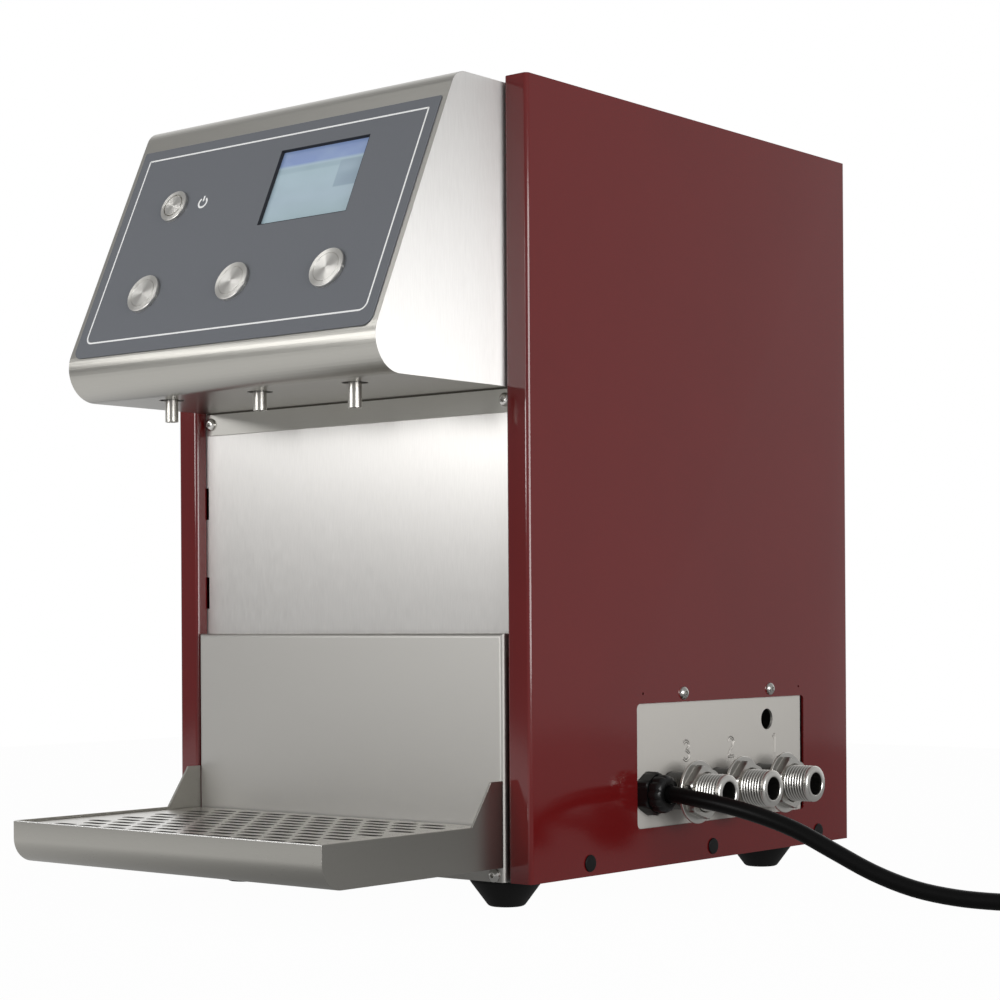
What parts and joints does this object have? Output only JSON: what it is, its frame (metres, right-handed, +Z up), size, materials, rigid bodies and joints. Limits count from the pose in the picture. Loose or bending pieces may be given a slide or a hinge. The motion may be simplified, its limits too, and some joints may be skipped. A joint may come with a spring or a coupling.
{
  "type": "hot drink dispenser",
  "caption": "Countertop hot drink dispenser: wine-red folded side panels, slanted steel control hood with push buttons and screen over spouts and a hanging drip tray.",
  "frame": {"origin": "middle of the part's own box on the floor, without the cord", "axes": "+X to the right seen from the front, +Y to the back, +Z up"},
  "size_m": [0.6049, 0.4552, 0.435],
  "materials": {
    "wine_red_paint": "gloss",
    "brushed_stainless": "vertical brush",
    "satin_stainless": "satin",
    "bright_steel": "polished",
    "overlay_print": "printed film",
    "display_glass": "clear",
    "black_plastic": "fine grain",
    "black_rubber": "matte",
    "circuit_board": "solder mask",
    "valve_brass": "machined",
    "cast_aluminium": "as cast",
    "cream_plastic": "moulded"
  },
  "bodies": {
    "housing": {"side_panel_left": "wine_red_paint", "side_panel_right": "wine_red_paint", "base_plate": "satin_stainless", "top_panel": "brushed_stainless", "rear_panel": "satin_stainless", "rear_screws": "bright_steel", "splash_panel": "brushed_stainless", "splash_screws": "bright_steel", "lower_panel": "satin_stainless", "lower_panel_screws": "bright_steel", "hood_shell": "brushed_stainless", "control_overlay": "overlay_print", "display_window": "display_glass", "display_module": "black_plastic", "control_board": "circuit_board", "board_standoffs": "bright_steel", "power_button_body": "bright_steel", "button_nuts": "bright_steel", "valve_bracket": "satin_stainless", "outlet_tubes": "bright_steel", "heater_block": "cast_aluminium", "heater_stand": "satin_stainless", "heating_elements": "bright_steel", "temperature_sensor": "bright_steel", "safety_thermostat": "black_plastic", "inlet_tubes": "bright_steel", "inlet_nuts": "bright_steel", "inlet_washers": "bright_steel", "connection_plate": "satin_stainless", "plate_screws": "bright_steel", "cable_gland": "black_plastic", "gland_nut": "black_plastic", "gland_locknut": "black_plastic", "power_supply": "satin_stainless", "terminal_block": "cream_plastic", "feet": "black_rubber", "foot_screws": "bright_steel", "side_plugs": "black_plastic", "cord_free": "black_rubber", "cord_coil": "black_rubber", "mains_plug": "black_rubber", "cord_tie": "black_plastic", "dispense_button_body_1": "bright_steel", "spout_1": "bright_steel", "solenoid_valve_1": "valve_brass", "inlet_fitting_1": "bright_steel", "dispense_button_body_2": "bright_steel", "spout_2": "bright_steel", "solenoid_valve_2": "valve_brass", "inlet_fitting_2": "bright_steel", "dispense_button_body_3": "bright_steel", "spout_3": "bright_steel", "solenoid_valve_3": "valve_brass", "inlet_fitting_3": "bright_steel"},
    "power_cap": {"power_button_cap": "satin_stainless"},
    "drip_tray": {"drip_tray": "satin_stainless"},
    "drip_grille": {"drip_grille": "satin_stainless"},
    "dispense_cap_1": {"dispense_button_cap_1": "satin_stainless"},
    "dispense_cap_2": {"dispense_button_cap_2": "satin_stainless"},
    "dispense_cap_3": {"dispense_button_cap_3": "satin_stainless"}
  },
  "joints": [
    {"name": "power_press", "type": "slide", "parent": "housing", "child": "power_cap", "axis": [0, 0.9117, -0.4108], "range_m": [0, 0.0016], "stiffness_N_per_m": 1500, "springref_m": -0.001},
    {"name": "dispense_press_1", "type": "slide", "parent": "housing", "child": "dispense_cap_1", "axis": [0, 0.9117, -0.4108], "range_m": [0, 0.0016], "stiffness_N_per_m": 1500, "springref_m": -0.001},
    {"name": "dispense_press_2", "type": "slide", "parent": "housing", "child": "dispense_cap_2", "axis": [0, 0.9117, -0.4108], "range_m": [0, 0.0016], "stiffness_N_per_m": 1500, "springref_m": -0.001},
    {"name": "dispense_press_3", "type": "slide", "parent": "housing", "child": "dispense_cap_3", "axis": [0, 0.9117, -0.4108], "range_m": [0, 0.0016], "stiffness_N_per_m": 1500, "springref_m": -0.001},
    {"name": "tray_lift", "type": "slide", "parent": "housing", "child": "drip_tray", "axis": [0, 0, 1], "range_m": [0, 0.009]},
    {"name": "grille_lift", "type": "slide", "parent": "drip_tray", "child": "drip_grille", "axis": [0, 0, 1], "range_m": [0, 0.03]}
  ]
}
